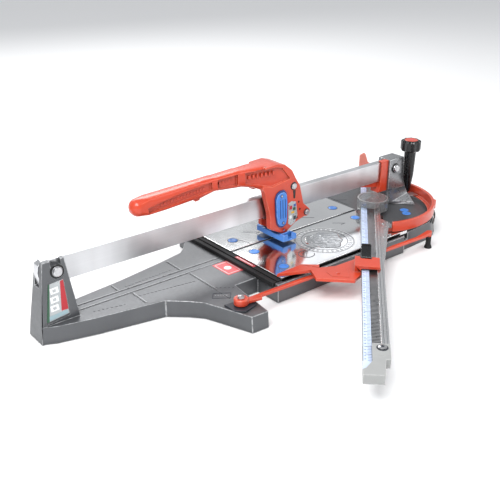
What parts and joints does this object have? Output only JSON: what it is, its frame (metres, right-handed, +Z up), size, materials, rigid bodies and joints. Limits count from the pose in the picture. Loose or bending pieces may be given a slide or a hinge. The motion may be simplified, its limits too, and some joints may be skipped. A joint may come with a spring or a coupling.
{
  "type": "tile cutter",
  "caption": "Manual tile cutter: cast base with high guide rail, scoring carriage with lift handle and breaking foot, sprung tile plates, swinging ruler with angle arc.",
  "frame": {"origin": "on the bench under the centre pad, on the cut line below the carriage", "axes": "+X along the rail from the nose to the rear, +Y to the left, +Z up"},
  "size_m": [1.1025, 0.7589, 0.244],
  "materials": {
    "cast_grey": "satin grey enamel over casting",
    "post_grey": "blasted casting",
    "bright_steel": "polished",
    "polished_aluminium": "polished",
    "bolt_steel": "zinc plated",
    "black_rubber": "matt",
    "black_plastic": "fine grain",
    "orange_red": "satin powder coat",
    "blue_plastic": "satin moulding",
    "scale_white": "printed strip",
    "end_grey": "satin moulding",
    "clear": "clear acrylic"
  },
  "bodies": {
    "base": {"base_casting": "cast_grey", "rear_post": "post_grey", "rail": "bright_steel", "rail_stop": "orange_red", "nose_bolt": "bolt_steel", "nose_bolt_washer": "black_plastic", "nose_nut": "bolt_steel", "rear_bolt": "bolt_steel", "rear_bolt_washer": "black_plastic", "rear_nut": "bolt_steel", "front_strip": "black_rubber", "breaking_ridge": "bolt_steel", "angle_scale": "black_plastic", "arm_pivot_pin": "bolt_steel", "foot_nose": "black_rubber", "foot_wing": "black_rubber", "foot_front_left": "black_rubber", "foot_rear_left": "black_rubber", "foot_rear_right": "black_rubber", "centre_pad": "black_rubber", "spring_left_front": "bolt_steel", "spring_left_rear": "bolt_steel", "spring_right_front": "bolt_steel", "spring_right_rear": "bolt_steel"},
    "left_plate": {"plate_left": "polished_aluminium"},
    "right_plate": {"plate_right": "polished_aluminium"},
    "carriage": {"carriage_plate_left": "bolt_steel", "carriage_plate_right": "bolt_steel", "bottom_axle": "bolt_steel"},
    "upper_roller": {"top_roller": "bright_steel"},
    "lower_roller": {"bottom_roller": "bright_steel"},
    "handle": {"handle": "orange_red", "cover_left": "blue_plastic", "cover_right": "blue_plastic", "handle_pivot_bolt": "bolt_steel", "handle_pivot_nut": "bolt_steel", "lower_bolt": "bolt_steel", "lower_nut": "bolt_steel", "foot_pin": "bolt_steel", "wheel_holder": "bolt_steel", "wheel_holder_pin": "bolt_steel", "wheel_axle": "bolt_steel"},
    "wheel": {"scoring_wheel": "bright_steel"},
    "breaking_foot": {"breaking_foot": "blue_plastic"},
    "swing_ruler": {"ruler_bar": "bright_steel", "ruler_scale": "scale_white", "head_plate": "polished_aluminium", "angle_arc": "orange_red", "ruler_end_cap": "end_grey", "clear_disc": "clear", "far_fin": "orange_red"},
    "ruler_stop": {"ruler_stop": "orange_red"},
    "stop_lever": {"stop_lever": "black_plastic"},
    "clamp_knob": {"clamp_knob": "black_plastic", "knob_cap": "orange_red"},
    "clamp_shoe": {"clamp_shoe": "bolt_steel"},
    "side_arm": {"side_arm": "orange_red", "side_arm_foot": "black_rubber"}
  },
  "joints": [
    {"name": "left_plate_press", "type": "slide", "parent": "base", "child": "left_plate", "axis": [0, 0, -1], "range_m": [0, 0.003], "stiffness_N_per_m": 8000, "springref_m": -0.003, "deforming": ["spring_left_front", "spring_left_rear"]},
    {"name": "right_plate_press", "type": "slide", "parent": "base", "child": "right_plate", "axis": [0, 0, -1], "range_m": [0, 0.003], "stiffness_N_per_m": 8000, "springref_m": -0.003, "deforming": ["spring_right_front", "spring_right_rear"]},
    {"name": "carriage_slide", "type": "slide", "parent": "base", "child": "carriage", "axis": [1, 0, 0], "range_m": [-0.44, 0.17]},
    {"name": "upper_roller_spin", "type": "hinge", "parent": "carriage", "child": "upper_roller", "pos_m": [-0.041, 0, 0.18], "axis": [0, 1, 0], "continuous": true},
    {"name": "lower_roller_spin", "type": "hinge", "parent": "carriage", "child": "lower_roller", "pos_m": [-0.08, 0, 0.1066], "axis": [0, 1, 0], "continuous": true},
    {"name": "handle_lift", "type": "hinge", "parent": "carriage", "child": "handle", "pos_m": [-0.041, 0, 0.18], "axis": [0, 1, 0], "range_deg": [0, 20]},
    {"name": "foot_tilt", "type": "hinge", "parent": "handle", "child": "breaking_foot", "pos_m": [-0.068, 0, 0.0765], "axis": [0, 1, 0], "range_deg": [-8, 8]},
    {"name": "wheel_spin", "type": "hinge", "parent": "handle", "child": "wheel", "pos_m": [-0.035, 0, 0.07], "axis": [0, 1, 0], "continuous": true},
    {"name": "ruler_swing", "type": "hinge", "parent": "base", "child": "swing_ruler", "pos_m": [0.24, 0, 0], "axis": [0, 0, 1], "range_deg": [0, 90]},
    {"name": "stop_slide", "type": "slide", "parent": "swing_ruler", "child": "ruler_stop", "axis": [-0.7242, -0.6896, 0], "range_m": [-0.1, 0.29]},
    {"name": "stop_lever_lift", "type": "hinge", "parent": "ruler_stop", "child": "stop_lever", "pos_m": [-0.02505, -0.2524, 0.0752], "axis": [0.6896, -0.7242, 0], "range_deg": [0, 60]},
    {"name": "knob_turn", "type": "hinge", "parent": "base", "child": "clamp_knob", "pos_m": [0.373, -0.0262, 0.1], "axis": [0, 0, 1], "range_deg": [0, 360]},
    {"name": "shoe_press", "type": "slide", "parent": "base", "child": "clamp_shoe", "axis": [0, 0, 1], "range_m": [0, 0.0015]},
    {"name": "side_arm_swing", "type": "hinge", "parent": "base", "child": "side_arm", "pos_m": [-0.3285, -0.197, 0.05], "axis": [0, 0, 1], "range_deg": [-95, 0]}
  ],
  "couplings": [
    {"joint": "shoe_press", "follows": "knob_turn", "m_per_rad": 0.000238}
  ]
}
